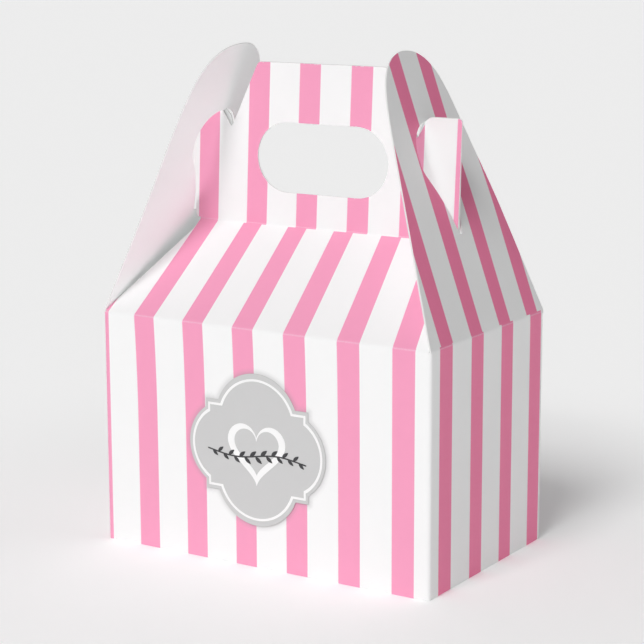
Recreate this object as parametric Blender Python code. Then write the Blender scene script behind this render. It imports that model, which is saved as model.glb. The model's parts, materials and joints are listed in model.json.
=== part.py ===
"""Gable favour box: one die-cut sheet of card folded into walls, roof, handle and two hooked gable loops.

The panels between the creases are separate objects. Each one is drawn flat, with its origin on the
crease that joins it to its parent panel: local X runs along that crease, local Y runs up the panel
and local Z points out of its printed side. A crease is the child's rotation about local X.
World axes: X along the box, Y from front to back, Z up, origin under the middle of the box.
"""

import math

import bmesh
import bpy

# Driving dimensions, in metres
LENGTH = 0.1016  # outside, along X: 4 inches
DEPTH = 0.0624  # outside, along Y
WALL_HEIGHT = 0.0640  # floor to the creases at the top of the walls
HANDLE_CREASE_HEIGHT = 0.0864  # floor to the crease between roof and handle
CARD = 0.00045  # thickness of the card
GAP = 0.0003  # clearance between neighbouring panels

# Roof and handle
ROOF_BASE_WIDTH = LENGTH - 0.0024
ROOF_TOP_WIDTH = 0.0796
HANDLE_HEIGHT = 0.0441
HANDLE_BASE_WIDTH = 0.0826
HANDLE_EAR_WIDTH = 0.0838
HANDLE_GRIP_WIDTH = 0.0402
EAR_HEIGHT = 0.0312
EAR_INNER_X = 0.0327
NOTCH_X = 0.0290
NOTCH_HEIGHT = 0.0259
SLOT_LENGTH = 0.0410
SLOT_RADIUS = 0.0095
SLOT_HEIGHT = 0.0187  # slot centre above the handle's crease
EAR_CORNER_RADIUS = 0.0006

# Gable loops
GABLE_LEAN = math.radians(19.5)  # from upright, inwards over the roof
GABLE_BASE_WIDTH = 0.0616
GABLE_LENGTH = 0.0755  # from crease to tip
GABLE_TAPER = 0.218  # half width lost for each unit of length
GABLE_ROUNDNESS = 14.0  # power of the curve that closes the tip
HOLE_RADIUS = 0.0091  # round top of the teardrop hole
HOLE_CENTRE = 0.0481  # its centre above the crease
HOLE_FOOT_RADIUS = 0.0010
HOLE_FOOT = 0.0267  # centre of the small foot radius above the crease
GABLE_SETBACK = 2 * GAP  # lets the loop fold out past level without rubbing the wall

# Snap-lock bottom: four flaps in layers, the front one lowest
FRONT_FLAP_REACH = 0.0349
BACK_FLAP_REACH = 0.0370
DUST_FLAP_REACH = 0.0285
FLAP_CHAMFER = 0.0060
TONGUE_WIDTH = 0.0340
TONGUE_RUN = 0.0138
TONGUE_RISE_START = 0.0010
TONGUE_RISE_RUN = 0.0050
LOCK_SLOT_WIDTH = TONGUE_WIDTH + 0.0020
LOCK_SLOT_FAR = 0.0242  # far edge of the slot, from the back crease
LOCK_SLOT_RUN = 0.0040

# Glue flap and label
GLUE_FLAP_WIDTH = 0.0120
GLUE_FLAP_CLEARANCE = 0.0040
LABEL_CENTRE_X = -0.0009
LABEL_CENTRE_HEIGHT = 0.0321
LABEL_HALF_WIDTH = 0.0212
LABEL_HALF_HEIGHT = 0.0204
LABEL_STEP_X = (0.0120, 0.0160)  # inner and outer corner of each square step
LABEL_STEP_Z = (0.0098, 0.0122)
LABEL_PAPER = 0.0002

PRINTED = (0.96, 0.62, 0.72, 1.0)
PLAIN = (0.90, 0.89, 0.88, 1.0)
LABEL_GREY = (0.64, 0.64, 0.64, 1.0)

WALL_INSET = CARD / 2
HANDLE_INSET = GAP / 2 + CARD / 2
ROOF_RUN = DEPTH / 2 - WALL_INSET - HANDLE_INSET
ROOF_RISE = HANDLE_CREASE_HEIGHT - WALL_HEIGHT
ROOF_SLOPE = math.atan2(ROOF_RISE, ROOF_RUN)
ROOF_LENGTH = math.hypot(ROOF_RUN, ROOF_RISE)
UPRIGHT = math.pi / 2
FACES = {"front": 0.0, "right": math.pi / 2, "back": math.pi, "left": -math.pi / 2}


def clear_scene():
    for existing in list(bpy.data.objects):
        bpy.data.objects.remove(existing, do_unlink=True)


def paper(name, colour):
    material = bpy.data.materials.new(name)
    material.use_nodes = True
    shader = material.node_tree.nodes["Principled BSDF"]
    shader.inputs["Base Color"].default_value = colour
    shader.inputs["Roughness"].default_value = 0.55
    shader.inputs["Metallic"].default_value = 0.0
    return material


def arc(centre, radius, start, end, steps):
    """Points on a circle from the angle start to the angle end, both included."""
    points = []
    for i in range(steps + 1):
        angle = start + (end - start) * i / steps
        points.append((centre[0] + radius * math.cos(angle), centre[1] + radius * math.sin(angle)))
    return points


def rounded(points, radius, steps=3):
    """The closed outline with each corner replaced by a quadratic curve that starts radius away from it."""
    smooth = []
    for i, corner in enumerate(points):
        before = points[i - 1]
        after = points[(i + 1) % len(points)]
        ends = []
        for other in (before, after):
            length = math.dist(corner, other)
            share = min(radius, length / 3) / length
            ends.append([corner[k] + (other[k] - corner[k]) * share for k in (0, 1)])
        for j in range(steps + 1):
            t = j / steps
            weights = ((1 - t) ** 2, 2 * t * (1 - t), t * t)
            smooth.append(
                tuple(
                    weights[0] * ends[0][k] + weights[1] * corner[k] + weights[2] * ends[1][k]
                    for k in (0, 1)
                )
            )
    return smooth


def mirrored(half):
    """A closed outline from its right half, listed from the bottom up. Middle points stay single."""
    on_middle = 1e-9
    return half + [(-x, y) for x, y in reversed(half) if x > on_middle]


def solid(name, bm, colour, parent, location, bend, turn=0.0):
    bmesh.ops.recalc_face_normals(bm, faces=bm.faces)
    mesh = bpy.data.meshes.new(name)
    bm.to_mesh(mesh)
    bm.free()
    mesh.materials.append(paper(name, colour))
    made = bpy.data.objects.new(name, mesh)
    bpy.context.scene.collection.objects.link(made)
    made.parent = parent
    made.location = location
    made.rotation_euler = (bend, 0.0, turn)
    return made


def panel(name, outline, parent, location, bend, turn=0.0, holes=(), thickness=CARD, colour=PRINTED):
    """A flat sheet with the given outline and holes, its thickness centred on the local XY plane."""
    bm = bmesh.new()
    for loop in (outline, *holes):
        corners = [bm.verts.new((x, y, -thickness / 2)) for x, y in loop]
        for first, second in zip(corners, corners[1:] + corners[:1]):
            bm.edges.new((first, second))
    bmesh.ops.triangle_fill(bm, edges=bm.edges, use_beauty=True)
    raised = bmesh.ops.extrude_face_region(bm, geom=list(bm.faces))
    top = [item for item in raised["geom"] if isinstance(item, bmesh.types.BMVert)]
    bmesh.ops.translate(bm, verts=top, vec=(0.0, 0.0, thickness))
    return solid(name, bm, colour, parent, location, bend, turn)


def rectangle(half_width, bottom, top):
    return [(-half_width, bottom), (half_width, bottom), (half_width, top), (-half_width, top)]


def build_walls(box):
    """Front and back walls run the full length, and the side walls stand between them."""
    side_half_width = DEPTH / 2 - CARD - GAP
    walls = {}
    for side, turn in FACES.items():
        along_front = side in ("front", "back")
        half_width = LENGTH / 2 if along_front else side_half_width
        distance = (DEPTH if along_front else LENGTH) / 2 - WALL_INSET
        location = (distance * math.sin(turn), -distance * math.cos(turn), 0.0)
        outline = rectangle(half_width, 0.0, WALL_HEIGHT - GAP)
        walls[side] = panel(f"{side}_wall", outline, box, location, UPRIGHT, turn)
    return walls


def build_glue_flap(back_wall):
    """The seam strip on the left wall's edge, glued to the inside of the back wall."""
    outer = LENGTH / 2 - CARD - GAP
    inner = outer - GLUE_FLAP_WIDTH
    low = GLUE_FLAP_CLEARANCE
    high = WALL_HEIGHT - GLUE_FLAP_CLEARANCE
    outline = [(outer, low), (outer, high), (inner, high - low), (inner, low + low)]
    location = (0.0, 0.0, -CARD - GAP)
    panel("glue_flap", outline, back_wall, location, 0.0, colour=PLAIN)


def handle_outline():
    half = [
        (HANDLE_BASE_WIDTH / 2, GAP),
        (HANDLE_EAR_WIDTH / 2, EAR_HEIGHT),
        (EAR_INNER_X, EAR_HEIGHT),
        (NOTCH_X, NOTCH_HEIGHT),
        (HANDLE_GRIP_WIDTH / 2, HANDLE_HEIGHT),
    ]
    return rounded(mirrored(half), EAR_CORNER_RADIUS)


def finger_slot():
    reach = SLOT_LENGTH / 2 - SLOT_RADIUS
    right = arc((reach, SLOT_HEIGHT), SLOT_RADIUS, -UPRIGHT, UPRIGHT, 12)
    left = arc((-reach, SLOT_HEIGHT), SLOT_RADIUS, UPRIGHT, 3 * UPRIGHT, 12)
    return right + left


def build_roof_and_handle(side, wall):
    """A roof panel on the wall's top crease, and the handle panel that stands on the roof."""
    roof_outline = mirrored(
        [(ROOF_BASE_WIDTH / 2, GAP), (ROOF_TOP_WIDTH / 2, ROOF_LENGTH - GAP)]
    )
    lean_in = ROOF_SLOPE - UPRIGHT
    roof = panel(f"{side}_roof", roof_outline, wall, (0.0, WALL_HEIGHT, 0.0), lean_in)
    crease = (0.0, ROOF_LENGTH, 0.0)
    panel(f"{side}_handle", handle_outline(), roof, crease, -lean_in, holes=[finger_slot()])


def gable_outline():
    """Straight tapering sides that close in a round tip."""
    steps = 18
    straight_share = 0.5
    start = math.asin(straight_share)
    half = [(GABLE_BASE_WIDTH / 2, GABLE_SETBACK)]
    for i in range(steps + 1):
        rise = math.sin(start + (UPRIGHT - start) * i / steps)
        straight = GABLE_BASE_WIDTH / 2 - GABLE_TAPER * GABLE_LENGTH * rise
        closing = math.sqrt(max(0.0, 1 - rise**GABLE_ROUNDNESS))
        half.append((straight * closing, GABLE_LENGTH * rise))
    return mirrored(half)


def gable_hole():
    """A teardrop: a large circle and a small foot circle joined by their common tangents."""
    tangent = math.asin((HOLE_RADIUS - HOLE_FOOT_RADIUS) / (HOLE_CENTRE - HOLE_FOOT))
    top = arc((0.0, HOLE_CENTRE), HOLE_RADIUS, -tangent, math.pi + tangent, 20)
    foot = arc((0.0, HOLE_FOOT), HOLE_FOOT_RADIUS, math.pi + tangent, 2 * math.pi - tangent, 5)
    return top + foot


def build_gable(side, wall):
    crease = (0.0, WALL_HEIGHT, 0.0)
    panel(f"{side}_gable", gable_outline(), wall, crease, -GABLE_LEAN, holes=[gable_hole()])


def layer(number):
    """Height of the middle of a bottom flap, counted from the lowest layer."""
    return CARD / 2 + number * (CARD + GAP)


def bottom_flap(name, wall, number, half_width, reach, chamfer, holes=()):
    start = CARD / 2 + GAP
    half = [(half_width, start), (half_width, reach - chamfer), (half_width - chamfer, reach)]
    location = (0.0, layer(number), 0.0)
    panel(name, mirrored(half), wall, location, -UPRIGHT, holes=holes, colour=PLAIN)


def build_bottom(walls):
    long_half = LENGTH / 2 - CARD - GAP
    short_half = DEPTH / 2 - CARD - 2 * GAP
    bottom_flap("front_bottom_flap", walls["front"], 0, long_half, FRONT_FLAP_REACH, FLAP_CHAMFER)
    for side in ("left", "right"):
        name = f"{side}_dust_flap"
        bottom_flap(name, walls[side], 1, short_half, DUST_FLAP_REACH, 2 * FLAP_CHAMFER)
    near = LOCK_SLOT_FAR - LOCK_SLOT_RUN
    slot = rectangle(LOCK_SLOT_WIDTH / 2, near, LOCK_SLOT_FAR)
    bottom_flap(
        "back_bottom_flap", walls["back"], 2, long_half, BACK_FLAP_REACH, FLAP_CHAMFER, [slot]
    )


def build_lock_tongue(front_wall):
    """A strip that starts at the front flap's edge, climbs through the slot and lies over the back flap."""
    rise = layer(3) - layer(0)
    half_slope = math.atan2(rise, TONGUE_RISE_RUN) / 2
    shift = CARD / 2 * math.tan(half_slope)
    bend_up = TONGUE_RISE_START
    bend_flat = TONGUE_RISE_START + TONGUE_RISE_RUN
    lower = [
        (0.0, -CARD / 2),
        (bend_up + shift, -CARD / 2),
        (bend_flat + shift, rise - CARD / 2),
        (TONGUE_RUN, rise - CARD / 2),
    ]
    upper = [
        (TONGUE_RUN, rise + CARD / 2),
        (bend_flat - shift, rise + CARD / 2),
        (bend_up - shift, CARD / 2),
        (0.0, CARD / 2),
    ]
    bm = bmesh.new()
    section = [bm.verts.new((-TONGUE_WIDTH / 2, y, z)) for y, z in lower + upper]
    face = bm.faces.new(section)
    raised = bmesh.ops.extrude_face_region(bm, geom=[face])
    far_side = [item for item in raised["geom"] if isinstance(item, bmesh.types.BMVert)]
    bmesh.ops.translate(bm, verts=far_side, vec=(TONGUE_WIDTH, 0.0, 0.0))
    bmesh.ops.triangulate(bm, faces=bm.faces)
    location = (0.0, layer(0), -(FRONT_FLAP_REACH + GAP))
    solid("lock_tongue", bm, PLAIN, front_wall, location, -UPRIGHT)


def half_lobe(half_chord, base, peak):
    """Half of a shallow arc, from its end at (half_chord, base) to its middle at (0, peak)."""
    sagitta = peak - base
    radius = (half_chord**2 + sagitta**2) / (2 * sagitta)
    reach = math.asin(half_chord / radius)
    return arc((0.0, peak - radius), radius, UPRIGHT - reach, UPRIGHT, 6)


def label_outline():
    """Four lobes with a square step between neighbours."""
    inner_x, outer_x = LABEL_STEP_X
    inner_z, outer_z = LABEL_STEP_Z
    top = half_lobe(inner_x, outer_z, LABEL_HALF_HEIGHT)
    side = half_lobe(inner_z, outer_x, LABEL_HALF_WIDTH)
    upper = [(x, z) for z, x in reversed(side)] + [(outer_x, outer_z)] + top
    lower = [(x, -z) for x, z in reversed(upper[1:])]
    return mirrored(lower + upper)


def build_label(front_wall):
    standoff = CARD / 2 + GAP + LABEL_PAPER / 2
    location = (LABEL_CENTRE_X, LABEL_CENTRE_HEIGHT, standoff)
    panel(
        "front_label",
        label_outline(),
        front_wall,
        location,
        0.0,
        thickness=LABEL_PAPER,
        colour=LABEL_GREY,
    )


def main():
    clear_scene()
    box = bpy.data.objects.new("box", None)
    bpy.context.scene.collection.objects.link(box)
    walls = build_walls(box)
    build_glue_flap(walls["back"])
    for side in ("front", "back"):
        build_roof_and_handle(side, walls[side])
    for side in ("left", "right"):
        build_gable(side, walls[side])
    build_bottom(walls)
    build_lock_tongue(walls["front"])
    build_label(walls["front"])
    bpy.context.view_layer.update()


main()
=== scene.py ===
import json
import math

import bpy
import numpy as np
from mathutils import Matrix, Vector
from mathutils.geometry import delaunay_2d_cdt


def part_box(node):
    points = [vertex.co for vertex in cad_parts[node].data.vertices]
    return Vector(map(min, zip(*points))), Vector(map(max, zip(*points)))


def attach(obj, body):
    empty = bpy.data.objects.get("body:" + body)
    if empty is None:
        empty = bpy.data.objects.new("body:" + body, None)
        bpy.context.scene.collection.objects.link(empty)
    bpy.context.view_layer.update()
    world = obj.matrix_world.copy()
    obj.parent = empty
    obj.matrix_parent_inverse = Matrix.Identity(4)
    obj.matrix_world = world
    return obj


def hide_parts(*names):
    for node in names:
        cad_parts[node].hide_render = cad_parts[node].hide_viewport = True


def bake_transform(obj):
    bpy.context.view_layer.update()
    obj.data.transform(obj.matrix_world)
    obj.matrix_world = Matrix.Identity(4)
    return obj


# A gable favour box folded from one sheet of striped card. Every panel is a fine thin sheet with cut
# edges, and every crease is a narrow folded strip. Flat coordinates on a panel are u along its
# crease and v up the panel; "out" points out of its printed side. Lengths are in metres.

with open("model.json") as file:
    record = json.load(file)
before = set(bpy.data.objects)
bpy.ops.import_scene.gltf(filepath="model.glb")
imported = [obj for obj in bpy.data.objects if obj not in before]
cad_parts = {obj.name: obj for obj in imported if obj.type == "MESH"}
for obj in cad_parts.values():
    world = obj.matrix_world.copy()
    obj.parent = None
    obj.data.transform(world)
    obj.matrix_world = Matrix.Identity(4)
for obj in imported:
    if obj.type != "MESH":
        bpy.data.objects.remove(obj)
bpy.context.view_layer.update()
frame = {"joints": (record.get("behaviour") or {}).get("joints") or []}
joints = {joint["name"]: joint for joint in frame["joints"]}

MM = 0.001
TINY = 1e-9


def box_middle(node, axis):
    """The middle of a node's box along an axis."""
    low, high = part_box(node)
    return (low[axis] + high[axis]) / 2


# Places and sizes read from the frame
front_low, front_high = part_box("front_wall")
CARD = front_high.y - front_low.y
WALL_X = box_middle("right_wall", 0)
WALL_Y = box_middle("back_wall", 1)
WALL_TOP = joints["front_roof_fold"]["pos_m"][2]
HANDLE_Z = joints["front_handle_fold"]["pos_m"][2]
HANDLE_Y = joints["back_handle_fold"]["pos_m"][1]
OUTER_X = front_high.x
FLAP_Y = box_middle("glue_flap", 1)
LABEL_X = box_middle("front_label", 0)
LABEL_Z = box_middle("front_label", 2)
ROOF_RUN = WALL_Y - HANDLE_Y
ROOF_RISE = HANDLE_Z - WALL_TOP
ROOF_LENGTH = math.hypot(ROOF_RUN, ROOF_RISE)
ROOF_SLOPE = math.atan2(ROOF_RISE, ROOF_RUN)

# Folding
FOLD = 0.45 * MM  # from a crease to the end of the flat panel beside it
FOLD_STEPS = 10
CORNER_FOLD = 0.95 * MM  # the same for the rounder corners between walls
CELL = 2.0 * MM
TURNED_END = 0.20 * MM  # how far the folded bottom edge of a wall is rounded
CUT_ROUNDING = 0.08 * MM
EXTRA_GAP = 0.45 * MM  # least distance from a sheet's grid to its extra points
CORNER_GAP = 0.06 * MM  # from the top of a corner fold to the creases above it

# Roof and handle
ROOF_CORNER_X = 50.45 * MM
ROOF_SHOULDER_X = 39.9 * MM
ROOF_SHOULDER = 33.5 * MM
HANDLE_HEIGHT = 44.1 * MM
HANDLE_BASE_X = 41.3 * MM
EAR_OUTER_X = 42.35 * MM
EAR_HEIGHT = 31.8 * MM
EAR_INNER_X = 32.7 * MM
NOTCH_X = 29.0 * MM
NOTCH_HEIGHT = 25.9 * MM
GRIP_X = 20.1 * MM
EAR_CORNER = 1.1 * MM
BACK_EAR_SWELL = 1.2 * MM  # the back ear's inner edge is rounder than the front one's
BACK_TRIM = 0.6 * MM  # off the back ears and slot, so that the front and back cuts never show a step
SLOT_HALF_LENGTH = 20.5 * MM
SLOT_RADIUS = 9.5 * MM
SLOT_HEIGHT = 18.7 * MM

# Gable loops
GABLE_LEAN = math.radians(19.5)
GABLE_BASE = 31.0 * MM
GABLE_TAPER = 0.218
GABLE_LENGTH = 75.5 * MM
GABLE_ROUNDNESS = 14.0
GABLE_SHOULDER = 0.4  # share of the length below which the sides are straight
GABLE_CREASE_GAP = 0.1 * MM
HOLE_RADIUS = 9.5 * MM
HOLE_CENTRE = 46.9 * MM
HOLE_FOOT_RADIUS = 1.0 * MM
HOLE_FOOT = 27.0 * MM
HOLE_HOLLOW = 0.95 * MM  # how far its sides curve inwards
BEND_ROUNDING = 3.0 * MM
CROWN_START = 28.0 * MM
CROWN_RUN = 34.0 * MM

# How each loop's crown sits off its flat plane: pull outwards, slope towards its +u edge, slope of the
# bend about its middle, lean outwards at the tip, drift along u
CROWN = {
    "left": {"pull": -0.9 * MM, "tilt": -0.035, "bend": 0.125, "lean": 1.05 * MM, "drift": 0.0},
    "right": {"pull": -1.0 * MM, "tilt": -0.024, "bend": 0.0, "lean": -0.1 * MM, "drift": 0.8 * MM},
}

FLAP_SLANT = 0.4  # the glue flap's slanted ends, as a share of its width

# Bottom flaps, in layers of card
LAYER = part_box("left_dust_flap")[0].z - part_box("front_bottom_flap")[0].z
FLAP_CHAMFER = 6.0 * MM
DUST_FLAP_CHAMFER = 12.0 * MM
FLAP_CORNER = 1.0 * MM
LOCK_SLOT_CORNER = 0.5 * MM
LOCK_SLOT = (18.0 * MM, 20.2 * MM, 24.2 * MM)  # half width, near edge, far edge
TONGUE_HALF_WIDTH = 17.0 * MM
TONGUE_RISE = (1.0 * MM, 5.0 * MM)  # start and run of its climb through the slot
TONGUE_CHAMFER = 4.0 * MM
TONGUE_CORNER = 1.5 * MM

# Label
LABEL_SIZE = (21.3 * MM, 20.45 * MM)
LABEL_STEP_X = (12.0 * MM, 16.0 * MM)
LABEL_STEP_Z = (9.8 * MM, 12.2 * MM)
KEYLINE_SIZE = (20.05 * MM, 18.75 * MM)
KEYLINE_STEP_X = (11.05 * MM, 14.95 * MM)
KEYLINE_STEP_Z = (9.05 * MM, 11.0 * MM)
KEYLINE_HALF = 0.24 * MM
LABEL_PAPER = 0.16 * MM
INK_HEIGHT = 0.03 * MM
HEART_OUTER = (0.56 * MM, 0.0)  # scale and rise of each outline
HEART_INNER = (0.44 * MM, 0.3 * MM)

TWIG_END = 15.4 * MM
TWIG_MIDDLE = -1.6 * MM
TWIG_WAVE = 0.8 * MM
STEM_HALF = 0.12 * MM
LEAVES = 17
LEAF_LENGTH = 2.5 * MM
LEAF_FATNESS = 0.19
LEAF_ANGLE = math.radians(38)
LEAF_ENDS = (-TWIG_END + 1.6 * MM, TWIG_END - 2.2 * MM)
LEAF_GAP = 0.06 * MM  # from a leaf's root to the stem's edge
LEAF_SHRINK = 0.25  # how much smaller the leaves are at the twig's ends
# Painted shadow of the raised label on the front wall: its reach, and rings of points that carry it
PAINTED_SHADOW_REACH = 1.7 * MM
PAINTED_SHADOW_RINGS = (-0.9 * MM, -0.1 * MM, 0.45 * MM, 1.0 * MM, 1.6 * MM, 2.3 * MM)

# Print: the period of the stripes, the share of it that is pink, and where they start
STRIPE_PERIOD = 15.9025 * MM
STRIPE_SHARE = 0.408
SIDE_SHARE = 0.393
STRIPE_LEAN = 0.80 * MM  # aside at the roof crease, from LEAN_START up
LEAN_RUN = 10.0 * MM  # from the left corner, where it starts
LEAN_START = 35.0 * MM
FRONT_PHASE = 55.53 * MM
SIDE_PERIOD = 16.501 * MM
SIDE_PHASE = 26.47 * MM
GABLE_PERIOD = 15.62 * MM
GABLE_PHASE = 25.7 * MM
ROOF_SHIFT = -3.1 * MM
ROOF_NARROWING = 0.087
HANDLE_SHIFT = 1.7 * MM
HANDLE_OFFSET = 0.45 * MM
HANDLE_SPREAD = 1.011


def smooth(t):
    """Rises from 0 to 1 with level ends."""
    t = np.clip(t, 0.0, 1.0)
    return t * t * (3 - 2 * t)


# ---------------------------------------------------------------------------------------------------
# Outlines, as closed lists of (u, v)


def arc(centre, radius, start, end, steps):
    angles = np.linspace(start, end, steps + 1)
    return [(centre[0] + radius * math.cos(a), centre[1] + radius * math.sin(a)) for a in angles]


def mirrored(half):
    """A closed outline from its right half, listed from the bottom up. Middle points stay single."""
    return half + [(-u, v) for u, v in reversed(half) if u > TINY]


def rounded(points, radius, steps=5):
    """The closed outline with each corner replaced by a quadratic curve that starts radius away from it."""
    result = []
    for i, corner in enumerate(points):
        corner = np.array(corner)
        ends = []
        for other in (points[i - 1], points[(i + 1) % len(points)]):
            away = np.array(other) - corner
            length = np.linalg.norm(away)
            ends.append(corner + away / length * min(radius, length / 3))
        for t in np.linspace(0, 1, steps + 1):
            point = (1 - t) ** 2 * ends[0] + 2 * t * (1 - t) * corner + t * t * ends[1]
            result.append(tuple(point))
    return result


def dense(outline, step):
    """The closed outline with its long edges divided into parts of about one step."""
    result = []
    for start, end in zip(outline, outline[1:] + outline[:1]):
        parts = max(1, round(math.dist(start, end) / step))
        for i in range(parts):
            t = i / parts
            result.append((start[0] + (end[0] - start[0]) * t, start[1] + (end[1] - start[1]) * t))
    return result


def rectangle(left, right, bottom, top):
    return [(left, bottom), (right, bottom), (right, top), (left, top)]


def roof_outline():
    """Narrows from the wall's crease to its shoulders, then goes straight up to the handle's crease."""
    return mirrored(
        [
            (ROOF_CORNER_X, FOLD),
            (ROOF_SHOULDER_X, ROOF_SHOULDER),
            (ROOF_SHOULDER_X, ROOF_LENGTH - FOLD),
        ]
    )


def handle_outline(ear_swell, trim):
    """Two ears, a notch beside each, and the grip between them. The ears' inner edges may swell."""
    slant = np.array([NOTCH_X - EAR_INNER_X, NOTCH_HEIGHT - EAR_HEIGHT])
    aside = np.array([slant[1], -slant[0]]) / np.linalg.norm(slant)
    middle = np.array([EAR_INNER_X, EAR_HEIGHT]) + slant / 2 + aside * ear_swell
    inner_edge = [] if ear_swell == 0 else [tuple(middle)]
    half = [
        (HANDLE_BASE_X, FOLD),
        (EAR_OUTER_X - trim, EAR_HEIGHT),
        (EAR_INNER_X, EAR_HEIGHT),
        *inner_edge,
        (NOTCH_X, NOTCH_HEIGHT),
        (GRIP_X, HANDLE_HEIGHT),
    ]
    return rounded(mirrored(half), EAR_CORNER)


def finger_slot(grow):
    reach = SLOT_HALF_LENGTH - SLOT_RADIUS
    quarter = math.pi / 2
    right = arc((reach, SLOT_HEIGHT), SLOT_RADIUS + grow, -quarter, quarter, 28)
    left = arc((-reach, SLOT_HEIGHT), SLOT_RADIUS + grow, quarter, 3 * quarter, 28)
    return right + left


def gable_outline():
    """Sides that draw together, closed by a round tip."""
    half = [(GABLE_BASE, FOLD)]
    for angle in np.linspace(math.asin(GABLE_SHOULDER), math.pi / 2, 60):
        rise = math.sin(angle)
        straight = GABLE_BASE - GABLE_TAPER * GABLE_LENGTH * rise
        closing = math.sqrt(max(0.0, 1 - rise**GABLE_ROUNDNESS))
        half.append((straight * closing, GABLE_LENGTH * rise))
    return mirrored(half)


def gable_hole():
    """A teardrop: a large circle and a small foot circle, joined by slightly hollow sides."""
    tangent = math.asin((HOLE_RADIUS - HOLE_FOOT_RADIUS) / (HOLE_CENTRE - HOLE_FOOT))
    top = arc((0.0, HOLE_CENTRE), HOLE_RADIUS, -tangent, math.pi + tangent, 44)
    foot = arc((0.0, HOLE_FOOT), HOLE_FOOT_RADIUS, math.pi + tangent, 2 * math.pi - tangent, 8)
    shares = np.linspace(0, 1, 12)[1:-1]

    def side(start, end, inwards):
        return [
            (
                start[0] + (end[0] - start[0]) * t + inwards * HOLE_HOLLOW * math.sin(math.pi * t),
                start[1] + (end[1] - start[1]) * t,
            )
            for t in shares
        ]

    return top + side(top[-1], foot[0], 1) + foot + side(foot[-1], top[0], -1)


def lobed(size, step_x, step_z, grow=0.0):
    """Four shallow lobes with a square step between neighbours, grown outwards by a margin."""

    def half_lobe(half_chord, base, peak):
        sagitta = peak - base
        radius = (half_chord**2 + sagitta**2) / (2 * sagitta)
        reach = math.asin(half_chord / radius)
        return arc((0.0, peak - radius), radius, math.pi / 2 - reach, math.pi / 2, 16)

    inner_x, outer_x = (value + grow for value in step_x)
    inner_z, outer_z = (value + grow for value in step_z)
    top = half_lobe(inner_x, outer_z, size[1] + grow)
    side = half_lobe(inner_z, outer_x, size[0] + grow)
    upper = [(x, z) for z, x in reversed(side)] + [(outer_x, outer_z)] + top
    lower = [(x, -z) for x, z in reversed(upper[1:])]
    return mirrored(lower + upper)


# ---------------------------------------------------------------------------------------------------
# Geometry of one piece: points, faces, and a value of each kind for each point


class Shell:
    """The growing mesh of one piece. Each point has its flat place, print place, fold and edge values."""

    def __init__(self):
        self.points = []
        self.flat = []
        self.print_u = []
        self.fold = []
        self.edge = []
        self.faces = []
        self.slots = []

    def add(self, points, flat, print_u, fold, edge):
        start = len(self.points)
        self.points.extend(map(tuple, points))
        self.flat.extend(map(tuple, flat))
        self.print_u.extend(print_u)
        self.fold.extend(fold)
        self.edge.extend(edge)
        return start

    def add_face(self, corners, slot):
        self.faces.append(corners)
        self.slots.append(slot)


PRINTED, INSIDE, CUT = 0, 1, 2  # material slots of a card piece
SHARP_ANGLE = math.radians(32)


def normals_of(surface, flat):
    """Unit normals on the printed side of a surface at flat points."""
    h = 0.02 * MM
    along = surface(flat + (h, 0)) - surface(flat - (h, 0))
    up = surface(flat + (0, h)) - surface(flat - (0, h))
    normal = np.cross(along, up)
    return normal / np.linalg.norm(normal, axis=1)[:, None]


def inside(points, loop):
    """True for each point inside the closed loop."""
    x, y = points[:, 0], points[:, 1]
    hit = np.zeros(len(points), bool)
    for (x1, y1), (x2, y2) in zip(loop, loop[1:] + loop[:1]):
        if y1 == y2:
            continue
        crosses = (y1 > y) != (y2 > y)
        hit ^= crosses & (x < (x2 - x1) * (y - y1) / (y2 - y1) + x1)
    return hit


def triangulated(outline, holes, cell, extra=()):
    """Flat points and triangles that fill the outline around its holes, with even cells.

    Cells are finer round the extra points.
    """
    loops = [dense(outline, cell)] + [dense(hole, cell) for hole in holes]
    border = [point for loop in loops for point in loop]
    edges = []
    for loop in loops:
        start = len(edges)
        edges += [(start + i, start + (i + 1) % len(loop)) for i in range(len(loop))]
    low, high = np.min(border, axis=0), np.max(border, axis=0)
    rows = np.arange(low[1], high[1], cell * 0.87)
    grid = np.array(
        [
            (u, v)
            for i, v in enumerate(rows)
            for u in np.arange(low[0] + (i % 2) * cell / 2, high[0], cell)
        ]
    )
    keep = inside(grid, loops[0])
    for loop in loops[1:]:
        keep &= ~inside(grid, loop)
    grid = grid[keep]
    gaps = np.linalg.norm(grid[:, None] - np.array(border)[None], axis=2).min(axis=1)
    grid = grid[gaps > cell * 0.5]
    if len(extra):
        gaps = np.linalg.norm(grid[:, None] - np.array(extra)[None], axis=2).min(axis=1)
        grid = np.concatenate([grid[gaps > EXTRA_GAP], extra])
    points = [(u / MM, v / MM) for u, v in border + [tuple(p) for p in grid]]
    made = delaunay_2d_cdt(points, edges, [], 0, 1e-5)
    flat = np.array([tuple(p) for p in made[0]]) * MM
    triangles = np.array([list(face) for face in made[2]])
    centres = flat[triangles].mean(axis=1)
    keep = inside(centres, loops[0])
    for loop in loops[1:]:
        keep &= ~inside(centres, loop)
    triangles = triangles[keep]
    a, b, c = (flat[triangles[:, k]] for k in range(3))
    area = np.cross(b - a, c - a)
    sound = np.abs(area) > 1e-12
    triangles = triangles[sound]
    turned = area[sound] < 0
    triangles[turned] = triangles[turned][:, ::-1]
    used, triangles = np.unique(triangles, return_inverse=True)
    return flat[used], triangles.reshape(-1, 3)


def border_edges(triangles):
    """The directed edges that only one triangle has."""
    directed = {(t[k], t[(k + 1) % 3]) for t in triangles.tolist() for k in range(3)}
    return sorted(edge for edge in directed if (edge[1], edge[0]) not in directed)


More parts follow.
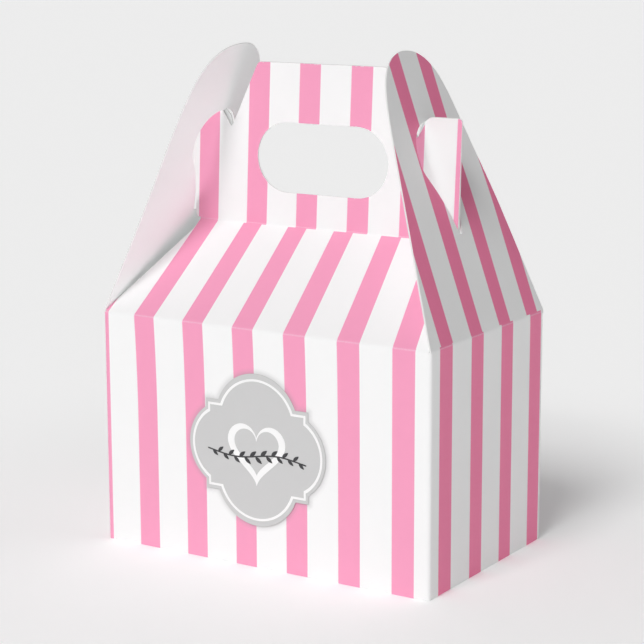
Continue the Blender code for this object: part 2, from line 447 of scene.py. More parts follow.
def sheet(
    shell,
    outline,
    surface,
    holes=(),
    print_at=None,
    edge_kind=None,
    thickness=CARD,
    cell=CELL,
    slots=(PRINTED, INSIDE, CUT),
    extra=(),
):
    """Adds a thin sheet of card to the shell: both faces, and a rounded rim along every cut edge.

    edge_kind(u, v) names the border there: "cut", "butt" where the card goes on in another piece,
    or "turned" where a wall is folded under the box.
    """
    flat, triangles = triangulated(outline, holes, cell, extra)
    rim = border_edges(triangles)
    kinds = {}
    away = {}
    for start, end in rim:
        step = flat[end] - flat[start]
        outward = np.array([step[1], -step[0]]) / np.linalg.norm(step)
        for corner in (start, end):
            away[corner] = away.get(corner, np.zeros(2)) + outward
            kinds[corner] = edge_kind(*flat[corner]) if edge_kind else "cut"
    reach = {"cut": CUT_ROUNDING, "butt": 0.0, "turned": TURNED_END}
    edge = np.array([1.0 if kinds.get(i) == "cut" else 0.0 for i in range(len(flat))])
    prints = print_at(flat[:, 0], flat[:, 1]) if print_at else np.zeros(len(flat))
    fold = np.zeros(len(flat))
    middle = surface(flat)
    half = normals_of(surface, flat) * thickness / 2
    top = shell.add(middle + half, flat, prints, fold, edge)
    under = shell.add(middle - half, flat, prints, fold, edge)
    ring = sorted(kinds)
    ring_flat = np.array(
        [flat[i] + away[i] / max(np.linalg.norm(away[i]), 1e-9) * reach[kinds[i]] for i in ring]
    )
    mid = shell.add(surface(ring_flat), ring_flat, prints[ring], fold[ring], edge[ring])
    mid_of = {corner: mid + k for k, corner in enumerate(ring)}
    for a, b, c in triangles.tolist():
        shell.add_face((top + a, top + b, top + c), slots[0])
        shell.add_face((under + c, under + b, under + a), slots[1])
    for a, b in rim:
        turned = "turned" in (kinds[a], kinds[b])
        upper, lower = (slots[0], slots[0]) if turned else (slots[2], slots[2])
        shell.add_face((top + a, mid_of[a], mid_of[b], top + b), upper)
        shell.add_face((mid_of[a], under + a, under + b, mid_of[b]), lower)


def folded_strip(shell, crease, along, down, up, start, end, prints, depth=FOLD, colour=PRINTED):
    """Adds the strip of card that bends round a crease.

    crease is a point on it, along its direction, down and up the directions of the panels before and
    after it, and start and end its range along the crease. prints(along, across) is the print place.
    """
    count = max(1, round((end - start) / CELL))
    run = np.linspace(start, end, count + 1)
    t = np.linspace(0, 1, FOLD_STEPS + 1)
    crease, along, down, up = (np.array(x, float) for x in (crease, along, down, up))

    def section(t):
        before, after = crease + down * depth, crease + up * depth
        weights = ((1 - t) ** 2, 2 * t * (1 - t), t * t)
        place = sum(w[:, None] * p for w, p in zip(weights, (before, crease, after)))
        tangent = (1 - t)[:, None] * (crease - before) + t[:, None] * (after - crease)
        return place, tangent / np.linalg.norm(tangent, axis=1)[:, None]

    place, tangent = section(t)
    normal = np.cross(along, tangent)
    across = (2 * t - 1) * depth
    rows = len(t)
    flat = np.array([(u, s) for u in run for s in across])
    values = prints(flat[:, 0], flat[:, 1])
    crack = np.tile(1 - np.abs(2 * t - 1), len(run))
    none = np.zeros(len(flat))
    starts = {}
    for side in (1, -1):
        points = np.array([u * along + p + side * n * CARD / 2 for u in run for p, n in zip(place, normal)])
        starts[side] = shell.add(points, flat, values, crack if side == 1 else none, none)
    top, under = starts[1], starts[-1]
    for i in range(len(run) - 1):
        for j in range(rows - 1):
            a, b, c, d = i * rows + j, (i + 1) * rows + j, (i + 1) * rows + j + 1, i * rows + j + 1
            shell.add_face((top + a, top + b, top + c, top + d), colour)
            shell.add_face((under + d, under + c, under + b, under + a), INSIDE)
    last = (len(run) - 1) * rows
    for j in range(rows - 1):
        shell.add_face((top + j, top + j + 1, under + j + 1, under + j), CUT)
        shell.add_face((top + last + j + 1, top + last + j, under + last + j, under + last + j + 1), CUT)
    for i in range(len(run) - 1):
        a, b = i * rows, (i + 1) * rows
        shell.add_face((top + b, top + a, under + a, under + b), CUT)
        a, b = a + rows - 1, b + rows - 1
        shell.add_face((top + a, top + b, under + b, under + a), CUT)


def added(name, data):
    """A new object of this data, in the scene."""
    made = bpy.data.objects.new(name, data)
    bpy.context.scene.collection.objects.link(made)
    return made


def make_piece(name, shell, materials):
    """Turns a shell into an object with its print and flat maps, and its fold and edge values."""
    mesh = bpy.data.meshes.new(name)
    mesh.from_pydata(shell.points, [], shell.faces)
    mesh.polygons.foreach_set("material_index", shell.slots)
    mesh.polygons.foreach_set("use_smooth", [True] * len(shell.faces))
    corner = np.zeros(len(mesh.loops), int)
    mesh.loops.foreach_get("vertex_index", corner)
    flat = np.array(shell.flat)[corner] / MM
    prints = np.column_stack([np.array(shell.print_u)[corner], flat[:, 1]])
    for layer_name, values in (("print", prints), ("flat", flat)):
        layer = mesh.uv_layers.new(name=layer_name)
        layer.data.foreach_set("uv", values.astype(np.float32).ravel())
    for value_name, values in (("fold", shell.fold), ("edge", shell.edge)):
        attribute = mesh.attributes.new(value_name, "FLOAT", "POINT")
        attribute.data.foreach_set("value", np.array(values, np.float32))
    mesh.set_sharp_from_angle(angle=SHARP_ANGLE)
    for material in materials:
        mesh.materials.append(material)
    mesh.update()
    return added(name, mesh)


class Panel:
    """A panel's place: the point on its crease, the directions along, up and out, and its gentle bulge."""

    def __init__(self, origin, along, up, lift=None, drift=None):
        self.origin = np.array(origin, float)
        self.along = np.array(along, float)
        self.up = np.array(up, float)
        self.out = np.cross(self.along, self.up)
        self.lift = lift
        self.drift = drift

    def __call__(self, flat):
        u, v = flat[:, 0], flat[:, 1]
        across = u + self.drift(u, v) if self.drift else u
        raised = self.lift(u, v) if self.lift else np.zeros(len(u))
        return (
            self.origin
            + across[:, None] * self.along
            + v[:, None] * self.up
            + raised[:, None] * self.out
        )


# ---------------------------------------------------------------------------------------------------
# Materials


def socket_of(value):
    return isinstance(value, bpy.types.NodeSocket)


class Graph:
    """A short way to write a material's nodes."""

    def __init__(self, name):
        self.material = bpy.data.materials.new(name)
        self.material.use_nodes = True
        self.tree = self.material.node_tree
        self.shader = self.tree.nodes["Principled BSDF"]

    def node(self, kind, inputs=(), **settings):
        made = self.tree.nodes.new(kind)
        for key, value in settings.items():
            setattr(made, key, value)
        for key, value in dict(inputs).items():
            if socket_of(value):
                self.tree.links.new(value, made.inputs[key])
            else:
                made.inputs[key].default_value = value
        return made

    def math(self, operation, a, b=0.0, c=0.0):
        return self.node("ShaderNodeMath", {0: a, 1: b, 2: c}, operation=operation).outputs[0]

    def noise(self, place, scale, detail=2.0, roughness=0.5):
        inputs = {"Vector": place, "Scale": scale, "Detail": detail, "Roughness": roughness}
        return self.node("ShaderNodeTexNoise", inputs).outputs["Fac"]

    def ramp(self, value, low, high, to_low=0.0, to_high=1.0):
        inputs = {0: value, 1: low, 2: high, 3: to_low, 4: to_high}
        return self.node("ShaderNodeMapRange", inputs, interpolation_type="SMOOTHSTEP").outputs[0]

    def mix(self, share, first, second):
        made = self.node("ShaderNodeMix", data_type="RGBA")
        for index, value in ((0, share), (6, first), (7, second)):
            if socket_of(value):
                self.tree.links.new(value, made.inputs[index])
            else:
                made.inputs[index].default_value = value
        return made.outputs[2]

    def place(self):
        """The flat place on the card in millimetres, as a vector."""
        return self.node("ShaderNodeUVMap", uv_map="flat").outputs["UV"]

    def value(self, name):
        return self.node("ShaderNodeAttribute", attribute_name=name).outputs["Fac"]

    def link(self, value, socket):
        self.tree.links.new(value, self.shader.inputs[socket])

    def tooth(self, place, fine, coarse, depth):
        """Paper tooth: fine fibres over a slow unevenness, as a bump."""
        fibres = self.noise(place, fine, 3.0, 0.6)
        waves = self.noise(place, coarse, 1.0)
        height = self.math("MULTIPLY_ADD", waves, 2.0, fibres)
        bump = self.node("ShaderNodeBump", {"Height": height, "Distance": depth, "Strength": 0.6})
        self.link(bump.outputs["Normal"], "Normal")

    def sheen_of_card(self, place, low, high):
        """A roughness that drifts from low to high."""
        self.link(self.ramp(self.noise(place, 0.9, 3.0), 0.3, 0.7, low, high), "Roughness")


WHITE = (0.880, 0.880, 0.880, 1)
PINK = (0.880, 0.335, 0.512, 1)
# The side pink below is painted shade: darker and deeper than the front pink, as the side walls and loops
# look in shade
SIDE_PINK_PAINTED_SHADE = (0.880, 0.225, 0.395, 1)
PALE_PINK = (0.900, 0.560, 0.690, 1)
FIBRE = (0.86, 0.85, 0.84, 1)
# The inner white's faint cool tint is painted light: it cancels the pink light that the stripes bounce onto
# the inside
INNER_WHITE = (0.936, 0.957, 0.952, 1)
CUT_WHITE = (0.80, 0.795, 0.79, 1)
LABEL_GREY = (0.575, 0.575, 0.575, 1)
LABEL_WHITE = (0.885, 0.885, 0.885, 1)
LABEL_DARK = (0.055, 0.055, 0.058, 1)
# Colour and strength of the painted shadow round the label
PAINTED_SHADOW_GREY = (0.30, 0.29, 0.30, 1)
PAINTED_SHADOW_STRENGTH = 0.30
INK_SOFTNESS = 0.004  # of a stripe's edge, in periods


def shaded(colour, factor):
    return (*(channel * factor for channel in colour[:3]), 1)


def striped_card(name, pink, share):
    """Coated card with pink stripes: crisp ink edges, a paler crack along folds, wear on cut edges.

    A value on the points darkens it round the raised label: a painted shadow of the label.
    """
    g = Graph(name)
    place = g.place()
    stripes = g.node("ShaderNodeUVMap", uv_map="print").outputs["UV"]
    across = g.node("ShaderNodeSeparateXYZ", {0: stripes}).outputs[0]
    wander = g.math("MULTIPLY_ADD", g.noise(place, 2.5, 2.0), 0.004, -0.002)
    phase = g.math("FRACT", g.math("ADD", across, wander))
    off_middle = g.math("ABSOLUTE", g.math("SUBTRACT", phase, share / 2))
    ink = g.ramp(off_middle, share / 2 - INK_SOFTNESS, share / 2 + INK_SOFTNESS, 1.0, 0.0)
    density = g.noise(place, 0.35, 4.0, 0.65)
    inked = g.mix(density, shaded(pink, 0.985), shaded(pink, 1.015))
    bare = g.mix(density, shaded(WHITE, 0.993), shaded(WHITE, 1.007))
    printed = g.mix(ink, bare, inked)
    fold = g.math("POWER", g.value("fold"), 2.5)
    broken = g.ramp(g.noise(place, 1.8, 3.0), 0.25, 0.65, 0.25, 0.8)
    crack = g.math("MULTIPLY", g.math("MULTIPLY", fold, broken), ink)
    cracked = g.mix(crack, printed, PALE_PINK)
    near_edge = g.ramp(g.value("edge"), 0.80, 1.0)
    chipped = g.math("MULTIPLY", near_edge, g.ramp(g.noise(place, 1.4, 4.0), 0.52, 0.66, 0.0, 0.55))
    worn = g.mix(chipped, cracked, FIBRE)
    # Painted shadow round the raised label, mixed into the colour
    painted_shadow = g.math("MULTIPLY", g.value("painted_shadow"), PAINTED_SHADOW_STRENGTH)
    g.link(g.mix(painted_shadow, worn, PAINTED_SHADOW_GREY), "Base Color")
    g.sheen_of_card(place, 0.46, 0.56)
    g.shader.inputs["Specular IOR Level"].default_value = 0.30
    g.tooth(place, 4.5, 0.12, 0.004 * MM)
    return g.material


def plain_card(name, colour, fleck):
    """Uncoated card: matt, with fibres and a mottle of this strength."""
    g = Graph(name)
    place = g.place()
    mottle = g.noise(place, 0.5, 5.0, 0.7)
    fibres = g.ramp(g.noise(place, 5.0, 2.0, 0.7), 0.60, 0.75)
    base = g.mix(mottle, shaded(colour, 1 - fleck), shaded(colour, 1 + fleck / 2))
    g.link(g.mix(g.math("MULTIPLY", fibres, 0.05), base, shaded(colour, 0.88)), "Base Color")
    g.sheen_of_card(place, 0.66, 0.80)
    g.shader.inputs["Specular IOR Level"].default_value = 0.22
    g.tooth(place, 3.2, 0.10, 0.008 * MM)
    return g.material


def label_paper(name, colour, low, high):
    """Smooth printed paper, with a roughness from low to high."""
    g = Graph(name)
    place = g.place()
    grain = g.noise(place, 1.2, 5.0, 0.7)
    g.link(g.mix(grain, shaded(colour, 0.985), shaded(colour, 1.015)), "Base Color")
    g.sheen_of_card(place, low, high)
    g.shader.inputs["Specular IOR Level"].default_value = 0.25
    g.tooth(place, 4.0, 0.3, 0.003 * MM)
    return g.material


stripes_front = striped_card("striped_card_front", PINK, STRIPE_SHARE)
# The sides' stripes use the darker pink, which is painted shade
stripes_side_painted_shade = striped_card("striped_card_side_painted_shade", SIDE_PINK_PAINTED_SHADE, SIDE_SHARE)
inner_white = plain_card("plain_card_inner", INNER_WHITE, 0.012)
cut_white = plain_card("cut_card_edge", CUT_WHITE, 0.05)
grey_paper = label_paper("label_grey", LABEL_GREY, 0.55, 0.68)
white_ink = label_paper("label_white", LABEL_WHITE, 0.42, 0.52)
dark_ink = label_paper("label_dark", LABEL_DARK, 0.42, 0.55)

FRONT_CARD = (stripes_front, inner_white, cut_white)
# Card for the side walls and loops, printed with the painted-shade pink
SIDE_CARD = (stripes_side_painted_shade, inner_white, cut_white)
PLAIN_CARD = (inner_white, inner_white, cut_white)


# ---------------------------------------------------------------------------------------------------
# Print places: whole numbers are the starts of pink stripes


def crease_lean(u):
    """How far the front stripes lean aside at the roof crease. They stay in place at the corners."""
    return STRIPE_LEAN * smooth((u + WALL_X) / LEAN_RUN) * (1 - 1.1 * smooth(u / WALL_X))


def front_print(u, v):
    rise = np.clip((v - LEAN_START) / (WALL_TOP - LEAN_START), 0, 1)
    return (u + FRONT_PHASE + crease_lean(u) * rise**1.8) / STRIPE_PERIOD


def right_print(u, v):
    return (u + SIDE_PHASE) / SIDE_PERIOD


BACK_START = right_print(WALL_Y, 0.0)


def back_print(u, v):
    """Goes on from the right wall's print."""
    return BACK_START + (u + WALL_X) / STRIPE_PERIOD


def left_print(u, v):
    """Leads up to the front wall's print."""
    return front_print(-WALL_X, 0.0) - (WALL_Y - u) / SIDE_PERIOD


def roof_print(wall_print):
    """The wall's stripes, drawn together and aside towards the handle."""

    def place(u, v):
        share = v / ROOF_LENGTH
        lean = -0.4 * share * crease_lean(u) if wall_print == front_print else 0.0
        return wall_print((u - ROOF_SHIFT * share) / (1 - ROOF_NARROWING * share) + lean, WALL_TOP)

    return place


def handle_print(wall_print):
    """The wall's stripes again, a little wider and leaning aside towards the top."""

    def place(u, v):
        return wall_print((u - HANDLE_SHIFT * v / HANDLE_HEIGHT) / HANDLE_SPREAD + HANDLE_OFFSET, 0.0)

    return place


def gable_print(u, v):
    return (u + GABLE_PHASE) / GABLE_PERIOD


def corner_print(start):
    """The print of a fold that goes on from a wall's last print place."""

    def place(run, across):
        return start + across / STRIPE_PERIOD

    return place


def crease_print(panel_print, level):
    """The print of a fold that keeps a panel's print at this height all across."""

    def place(run, across):
        return panel_print(run, level)

    return place


# ---------------------------------------------------------------------------------------------------
# The panels' places

X, Y, Z = np.eye(3)
SIDES = {"front": X, "right": Y, "back": -X, "left": -Y}
DISTANCE = {"front": WALL_Y, "back": WALL_Y, "right": WALL_X, "left": WALL_X}
HALF_RUN = {"front": WALL_X, "back": WALL_X, "right": WALL_Y, "left": WALL_Y}
WALL_PRINT = {"front": front_print, "right": right_print, "back": back_print, "left": left_print}
WALL_BULGE = 0.18 * MM


def outward(side):
    """The direction that a side's printed face points in."""
    return np.cross(SIDES[side], Z)


def wall_lift(u, v):
    """The front wall swells a little towards its top, and is flat at its four creases."""
    rise = np.clip(v / WALL_TOP, 0, 1)
    run = np.clip(np.abs(u) / WALL_X, 0, 1)
    return WALL_BULGE * np.sin(math.pi * rise**1.6) ** 2 * np.cos(math.pi / 2 * run) ** 2


def wall_panel(side):
    lift = wall_lift if side == "front" else None
    return Panel(outward(side) * DISTANCE[side], SIDES[side], Z, lift=lift)


def roof_up(side):
    return -outward(side) * math.cos(ROOF_SLOPE) + Z * math.sin(ROOF_SLOPE)


def roof_panel(side):
    return Panel(outward(side) * WALL_Y + Z * WALL_TOP, SIDES[side], roof_up(side))


def handle_panel(side):
    return Panel(outward(side) * HANDLE_Y + Z * HANDLE_Z, SIDES[side], Z)


def gable_up(side):
    return -outward(side) * math.sin(GABLE_LEAN) + Z * math.cos(GABLE_LEAN)


def crown(v):
    """0 on a loop's lower part and 1 on its crown."""
    return smooth((v - CROWN_START) / CROWN_RUN)


def gable_panel(side):
    """The ears hold the loop's hole, so its crown bends and sits a little off its flat plane."""
    shape = CROWN[side]

    def lift(u, v):
        bend = shape["bend"] * (np.sqrt(u**2 + BEND_ROUNDING**2) - BEND_ROUNDING)
        return crown(v) * (shape["pull"] + shape["tilt"] * u + bend) + shape["lean"] * v / GABLE_LENGTH

    def drift(u, v):
        return shape["drift"] * crown(v)

    origin = outward(side) * WALL_X + Z * WALL_TOP
    return Panel(origin, SIDES[side], gable_up(side), lift=lift, drift=drift)


# ---------------------------------------------------------------------------------------------------
# The pieces


def finish_piece(name, shell, materials, body, slot_name, *nodes):
    """Makes a rigid piece on a body, in place of these CAD nodes."""
    made = make_piece(name, shell, materials)
    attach(made, body)
    if nodes:
        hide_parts(*nodes)
    return made


def wall_edge(top, free):
    """A wall is turned under at its foot, and cut only at its free end, if it has one."""

    def kind(u, v):
        if v < TURNED_END + 1e-7:
            return "turned"
        return "cut" if u == free and v < top - 1e-7 else "butt"

    return kind


def corner_strip(shell, first, second):
    """The vertical fold between two walls."""
    corner = outward(first) * DISTANCE[first] + outward(second) * DISTANCE[second]
    prints = corner_print(WALL_PRINT[first](HALF_RUN[first], 0.0))
    low, high = CORNER_GAP - WALL_TOP, -TURNED_END / 4
    folded_strip(shell, corner, -Z, -SIDES[first], SIDES[second], low, high, prints, CORNER_FOLD)


def build_walls():
    """Four walls and the folds at three corners. The fourth is the glue flap's."""
    top = WALL_TOP - FOLD
    ends = {
        "front": (-WALL_X + CORNER_FOLD, WALL_X - CORNER_FOLD),
        "right": (-WALL_Y + CORNER_FOLD, WALL_Y - CORNER_FOLD),
        "back": (-WALL_X + CORNER_FOLD, OUTER_X - CUT_ROUNDING),
        "left": (-FLAP_Y + FOLD, WALL_Y - CORNER_FOLD),
    }
    corners = {"front": ("left", "front"), "right": ("front", "right"), "back": ("right", "back")}
    for side, (left, right) in ends.items():
        shell = Shell()
        free = right if side == "back" else None
        sheet(
            shell,
            rectangle(left, right, TURNED_END, top),
            wall_panel(side),
            print_at=WALL_PRINT[side],
            edge_kind=wall_edge(top, free),
            extra=painted_shadow_points() if side == "front" else (),
        )
        if side in corners:
            corner_strip(shell, *corners[side])
        materials = FRONT_CARD if side in ("front", "back") else SIDE_CARD
        made = finish_piece(f"{side}_wall_card", shell, materials, "box", "striped_card", f"{side}_wall")
        # The front wall gets the raised label's painted shadow
        if side == "front":
            add_painted_shadow(made)


def label_outline(grow=0.0):
    return lobed(LABEL_SIZE, LABEL_STEP_X, LABEL_STEP_Z, grow)


def painted_shadow_points():
    """Rings of points on the front wall, round the label's edge, which carry the label's painted shadow."""
    rings = [dense(label_outline(grow), 1.2 * MM) for grow in PAINTED_SHADOW_RINGS]
    return [(x + LABEL_X, z + LABEL_Z) for ring in rings for x, z in ring]


def add_painted_shadow(wall):
    """A soft painted shadow of the raised label on the front wall, kept as a value on its points."""
    outline = np.array(dense(label_outline(), 2.0 * MM)) + (LABEL_X, LABEL_Z)
    flat = np.array([(v.co.x, v.co.z) for v in wall.data.vertices])
    starts, ends = outline, np.roll(outline, -1, axis=0)
    span = ends - starts
    t = ((flat[:, None] - starts) * span).sum(2) / (span**2).sum(1)
    nearest = starts + np.clip(t, 0, 1)[:, :, None] * span
    distance = np.linalg.norm(flat[:, None] - nearest, axis=2).min(axis=1)
    attribute = wall.data.attributes.new("painted_shadow", "FLOAT", "POINT")
    attribute.data.foreach_set("value", (1 - smooth(distance / PAINTED_SHADOW_REACH)).astype(np.float32))


def build_glue_flap():
    """The left wall's end is folded on and glued inside the back wall."""
    low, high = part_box("glue_flap")
    shell = Shell()
    crease = (-WALL_X, FLAP_Y, 0)
    prints = corner_print(left_print(-FLAP_Y, 0.0))
    folded_strip(shell, crease, -Z, X, -Y, FOLD - WALL_TOP, -TURNED_END, prints)
    panel = Panel((0, FLAP_Y, 0), -X, Z)
    end = WALL_X - FOLD
    reach = -high.x
    slant = (high.x - low.x) * FLAP_SLANT
    outline = [(reach, low.z + slant), (end, low.z), (end, high.z), (reach, high.z - slant)]

    def kind(u, v):
        return "butt" if u > end - 1e-7 else "cut"

    sheet(shell, outline, panel, edge_kind=kind, slots=(INSIDE, INSIDE, CUT))
    finish_piece("glue_flap_card", shell, PLAIN_CARD, "box", "striped_card", "glue_flap")


def build_creases():
    """The folds at the creases of the roofs, handles and gables."""
    for side in ("front", "back"):
        roof, handle = f"{side}_roof", f"{side}_handle"
        slope = roof_up(side)
        prints = crease_print(WALL_PRINT[side], WALL_TOP)
        blended_strip(roof, roof_panel(side), -Z, slope, WALL_X - FOLD, prints, FRONT_CARD)
        prints = crease_print(handle_print(WALL_PRINT[side]), 0.0)
        blended_strip(handle, handle_panel(side), -slope, Z, ROOF_SHOULDER_X, prints, FRONT_CARD)
    for side in ("left", "right"):
        place = gable_panel(side)
        half = GABLE_BASE - GABLE_CREASE_GAP
        prints = crease_print(WALL_PRINT[side], WALL_TOP)
        blended_strip(f"{side}_gable", place, -Z, place.up, half, prints, SIDE_CARD)


def blended_strip(after, panel, down, up, half, prints, materials):
    """The fold at a panel's crease, as one piece named after the body beyond it."""
    shell = Shell()
    folded_strip(shell, panel.origin, panel.along, down, up, -half, half, prints)
    made = make_piece(f"{after}_crease", shell, materials)
    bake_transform(made)


def at_ends(low, high):
    """A border that butts against a fold at its lowest and highest v, and is cut elsewhere."""

    def kind(u, v):
        return "butt" if v < low + 1e-7 or (high is not None and v > high - 1e-7) else "cut"

    return kind


def build_roofs_and_handles():
    swell = {"front": 0.0, "back": BACK_EAR_SWELL}
    trim = {"front": 0.0, "back": BACK_TRIM}
    for side in ("front", "back"):
        shell = Shell()
        sheet(
            shell,
            roof_outline(),
            roof_panel(side),
            print_at=roof_print(WALL_PRINT[side]),
            edge_kind=at_ends(FOLD, ROOF_LENGTH - FOLD),
        )
        body = f"{side}_roof"
        finish_piece(f"{side}_roof_card", shell, FRONT_CARD, body, "striped_card", body)
        shell = Shell()
        sheet(
            shell,
            handle_outline(swell[side], trim[side]),
            handle_panel(side),
            holes=[finger_slot(trim[side])],
            print_at=handle_print(WALL_PRINT[side]),
            edge_kind=at_ends(FOLD, None),
            cell=1.6 * MM,
        )
        body = f"{side}_handle"
        finish_piece(f"{side}_handle_card", shell, FRONT_CARD, body, "striped_card", body)


def build_gables():
    for side in ("left", "right"):
        shell = Shell()
        sheet(
            shell,
            gable_outline(),
            gable_panel(side),
            holes=[gable_hole()],
            print_at=gable_print,
            edge_kind=at_ends(FOLD, None),
            cell=1.5 * MM,
        )
        body = f"{side}_gable"
        finish_piece(f"{side}_gable_card", shell, SIDE_CARD, body, "striped_card", body)


def flap_outline(half_width, start, reach, chamfer):
    """A flap from start to reach, with its two far corners cut off."""
    return mirrored([(half_width, start), (half_width, reach - chamfer), (half_width - chamfer, reach)])


def build_bottom():
    """Plain flaps in layers under the box, and the lock tongue."""
    layers = {"front": 0, "left": 1, "right": 1, "back": 2}
    nodes = {side: f"{side}_bottom_flap" for side in ("front", "back")}
    nodes |= {side: f"{side}_dust_flap" for side in ("left", "right")}
    for side, number in layers.items():
        low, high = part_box(nodes[side])
        along = 0 if side in ("front", "back") else 1
        across = 1 - along
        half_width = (high[along] - low[along]) / 2
        reach = high[across] - low[across] + CARD / 2
        chamfer = FLAP_CHAMFER if along == 0 else DUST_FLAP_CHAMFER
        height = (low.z + high.z) / 2
        panel = Panel(outward(side) * DISTANCE[side] + Z * height, SIDES[side], -outward(side))
        holes = []
        if side == "back":
            half, near, far = LOCK_SLOT
            holes = [rounded(rectangle(-half, half, near, far), LOCK_SLOT_CORNER)]
        shell = Shell()
        outline = rounded(flap_outline(half_width, CARD / 2, reach, chamfer), FLAP_CORNER)
        sheet(shell, outline, panel, holes=holes, cell=2.5 * MM, slots=(INSIDE, INSIDE, CUT))
        finish_piece(nodes[side] + "_card", shell, PLAIN_CARD, "box", "plain_card", nodes[side])
    build_tongue()


def build_tongue():
    """The front bottom flap's tongue, which climbs through the back flap's slot."""
    low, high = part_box("lock_tongue")
    start = low.y
    run = high.y - low.y
    bottom, top = low.z + CARD / 2, high.z - CARD / 2
    begin, climb = TONGUE_RISE

    def surface(flat):
        t = (flat[:, 1] - begin) / climb
        height = bottom + (top - bottom) * smooth(t)
        return np.column_stack([flat[:, 0], start + flat[:, 1], height])

    shell = Shell()
    outline = rounded(flap_outline(TONGUE_HALF_WIDTH, 0.0, run, TONGUE_CHAMFER), TONGUE_CORNER)
    sheet(shell, outline, surface, cell=1.0 * MM, slots=(INSIDE, INSIDE, CUT))
    finish_piece("lock_tongue_card", shell, PLAIN_CARD, "box", "plain_card", "lock_tongue")


def heart(scale, rise):
    """A closed heart curve, 32 scale units wide."""
    points = []
    for t in np.linspace(0, 2 * math.pi, 72, endpoint=False):
        u = 16 * math.sin(t) ** 3
        v = 13 * math.cos(t) - 5 * math.cos(2 * t) - 2 * math.cos(3 * t) - math.cos(4 * t)
        points.append((-u * scale, v * scale + rise))
    return points


def twig_height(x):
    return TWIG_MIDDLE + TWIG_WAVE * math.sin(x / TWIG_END * math.pi * 1.15)


def twig():
    """The outlines of a waving stem and the leaves on both sides of it."""
    run = np.linspace(-TWIG_END, TWIG_END, 60)
    upper = [(x, twig_height(x) + STEM_HALF) for x in run]
    lower = [(x, twig_height(x) - STEM_HALF) for x in run]
    outlines = [lower + upper[::-1]]
    for number, x in enumerate(np.linspace(*LEAF_ENDS, LEAVES)):
        side = 1 if number % 2 else -1
        root = np.array([x, twig_height(x) + side * (STEM_HALF + LEAF_GAP)])
        towards = np.array([math.cos(LEAF_ANGLE), side * math.sin(LEAF_ANGLE)])
        aside = np.array([-towards[1], towards[0]])
        size = LEAF_LENGTH * (1 - LEAF_SHRINK * abs(x) / TWIG_END)
        shares = np.linspace(0, 1, 12)
        swell = LEAF_FATNESS * size * np.sin(math.pi * shares**0.85)
        one = [tuple(root + towards * size * t - aside * w) for t, w in zip(shares, swell)]
        other = [tuple(root + towards * size * t + aside * w) for t, w in zip(shares, swell)]
        outlines.append(one + other[-2:0:-1])
    return outlines


def build_label():
    """The label and its print: a border line, an open heart and a twig of leaves."""
    wall_face = WALL_Y + CARD / 2 + WALL_BULGE

    def layer(offset):
        origin = np.array([LABEL_X, -(wall_face + offset), LABEL_Z])
        return Panel(origin, X, Z)

    only = (0, 0, 0)
    shell = Shell()
    paper = LABEL_PAPER
    sheet(shell, label_outline(), layer(paper / 2), thickness=paper, cell=1.5 * MM, slots=only)
    finish_piece("label_card", shell, (grey_paper,), "box", "label_paper", "front_label")

    def printed(name, outlines, holes, material, height=0.5 * INK_HEIGHT, cell=0.8 * MM):
        shell = Shell()
        surface = layer(paper + height)
        for outline in outlines:
            sheet(shell, outline, surface, holes=holes, thickness=INK_HEIGHT, cell=cell, slots=only)
        finish_piece(name, shell, (material,), "box", "label_paper")

    keyline = (KEYLINE_SIZE, KEYLINE_STEP_X, KEYLINE_STEP_Z)
    printed("label_border", [lobed(*keyline, KEYLINE_HALF)], [lobed(*keyline, -KEYLINE_HALF)], white_ink)
    printed("label_heart", [heart(*HEART_OUTER)], [heart(*HEART_INNER)], white_ink)
    printed("label_twig", twig(), [], dark_ink, 1.6 * INK_HEIGHT, 0.5 * MM)


# ---------------------------------------------------------------------------------------------------
# Camera, light and surroundings

CAMERA_ANGLES = (32.296, 11.457, -0.178)  # azimuth, elevation and roll in degrees
CAMERA_PLACE = (292.455 * MM, -463.411 * MM, 172.073 * MM)
LENS = 115.39
SENSOR = 36.0
FLOOR = 12.0
FLOOR_GAP = 0.02 * MM
# The floor's tone is greyer near the box: painted shade that offsets the light the box throws onto the
# floor
FLOOR_TONES = (0.87, 0.98)  # at the box and far away
FLOOR_FADE = (0.05, 0.22)  # where the one tone starts to fade into the other, and ends
FLOOR_GLOW = 0.155
BACKDROP_SIDES = 64
BACKDROP_GLOW = 0.84
KEY = (1.74, 2.0, 48.0, 24.0)  # strength, azimuth, elevation and angular size
FILL = (0.80, 60.0, -54.0, 30.0)
SKY = ((2, 0.17), (1, -0.45), (0, -0.32), (1, 0.06))  # axis, and brightness towards + or - of it


def build_camera():
    """A long lens at the front right, a little above the box."""
    azimuth, elevation, roll = (math.radians(angle) for angle in CAMERA_ANGLES)
    back = np.array(
        [
            math.sin(azimuth) * math.cos(elevation),
            -math.cos(azimuth) * math.cos(elevation),
            math.sin(elevation),
        ]
    )
    level = np.array([math.cos(azimuth), math.sin(azimuth), 0.0])
    upright = np.cross(back, level)
    right = level * math.cos(roll) + upright * math.sin(roll)
    up = upright * math.cos(roll) - level * math.sin(roll)
    camera = added("camera", bpy.data.cameras.new("camera"))
    matrix = Matrix.Identity(4)
    for column, values in enumerate((right, up, back, CAMERA_PLACE)):
        for row in range(3):
            matrix[row][column] = values[row]
    camera.matrix_world = matrix
    camera.data.sensor_width = SENSOR
    camera.data.lens = LENS
    camera.data.clip_start = 0.01
    camera.data.clip_end = 100.0
    bpy.context.scene.camera = camera


def build_sun(name, strength, azimuth, elevation, softness, shadow=True):
    """A distant light from this azimuth, measured from the front towards the right."""
    light = bpy.data.lights.new(name, "SUN")
    light.energy = strength
    light.angle = math.radians(softness)
    light.use_shadow = shadow
    made = added(name, light)
    made.rotation_euler = (math.radians(90 - elevation), 0, math.radians(azimuth))


def matt_white(name, glow):
    """A matt surface's nodes, with a glow of its own."""
    g = Graph(name)
    g.shader.inputs["Roughness"].default_value = 0.9
    g.shader.inputs["Specular IOR Level"].default_value = 0.0
    g.shader.inputs["Emission Color"].default_value = (1, 1, 1, 1)
    g.shader.inputs["Emission Strength"].default_value = glow
    return g


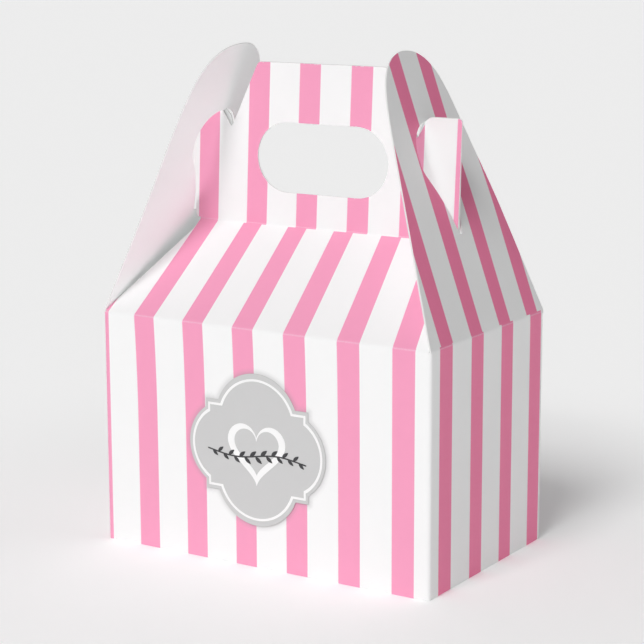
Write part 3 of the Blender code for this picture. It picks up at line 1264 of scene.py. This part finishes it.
def build_floor():
    """A large floor, a little greyer round the box: painted shade that offsets the light thrown onto it by
    the box.
    """
    mesh = bpy.data.meshes.new("floor")
    mesh.from_pydata([(x, y, 0) for x, y in rectangle(-FLOOR, FLOOR, -FLOOR, FLOOR)], [], [(0, 1, 2, 3)])
    floor = added("floor", mesh)
    floor.location.z = -FLOOR_GAP
    g = matt_white("floor_white", FLOOR_GLOW)
    place = g.node("ShaderNodeNewGeometry").outputs["Position"]
    distance = g.node("ShaderNodeVectorMath", {0: place}, operation="LENGTH").outputs["Value"]
    near, far = FLOOR_TONES
    # Painted shade round the box, fading out with distance
    shade = g.ramp(distance, *FLOOR_FADE)
    g.link(g.mix(shade, (near, near, near, 1), (far, far, far, 1)), "Base Color")
    mesh.materials.append(g.material)


def build_backdrop():
    """A far round wall of the floor's tone, which fills the view above the floor and sheds no light."""
    turns = [math.tau * i / BACKDROP_SIDES for i in range(BACKDROP_SIDES)]
    ring = [(FLOOR * math.cos(t), FLOOR * math.sin(t)) for t in turns]
    points = [(x, y, z) for z in (-FLOOR, FLOOR) for x, y in ring]
    around = [(i, (i + 1) % BACKDROP_SIDES) for i in range(BACKDROP_SIDES)]
    mesh = bpy.data.meshes.new("backdrop")
    mesh.from_pydata(points, [], [(i, j, j + BACKDROP_SIDES, i + BACKDROP_SIDES) for i, j in around])
    backdrop = added("backdrop", mesh)
    g = matt_white("backdrop_white", BACKDROP_GLOW)
    g.shader.inputs["Base Color"].default_value = (0, 0, 0, 1)
    mesh.materials.append(g.material)
    backdrop.visible_diffuse = False
    backdrop.visible_glossy = False
    backdrop.visible_shadow = False


def build_world():
    """A soft dim sky, brighter overhead, in front and towards the left."""
    world = bpy.data.worlds.new("studio")
    world.use_nodes = True
    tree = world.node_tree
    coordinates = tree.nodes.new("ShaderNodeTexCoord")
    split = tree.nodes.new("ShaderNodeSeparateXYZ")
    tree.links.new(coordinates.outputs["Generated"], split.inputs[0])
    total = None
    for axis, factor in SKY:
        share = tree.nodes.new("ShaderNodeMath")
        share.operation = "MULTIPLY"
        share.use_clamp = True
        share.inputs[1].default_value = factor
        tree.links.new(split.outputs[axis], share.inputs[0])
        if total:
            plus = tree.nodes.new("ShaderNodeMath")
            tree.links.new(total, plus.inputs[0])
            tree.links.new(share.outputs[0], plus.inputs[1])
            total = plus.outputs[0]
        else:
            total = share.outputs[0]
    tree.links.new(total, tree.nodes["Background"].inputs["Color"])
    bpy.context.scene.world = world


def build_light():
    """A large soft key in front, a shadowless fill from below at the right, and the sky."""
    build_world()
    build_sun("key", *KEY)
    build_sun("fill", *FILL, shadow=False)
    bpy.context.scene.view_settings.view_transform = "Standard"
    bpy.context.scene.view_settings.look = "None"


build_camera()
build_walls()
build_glue_flap()
build_creases()
build_roofs_and_handles()
build_gables()
build_bottom()
build_label()
build_floor()
build_backdrop()
build_light()
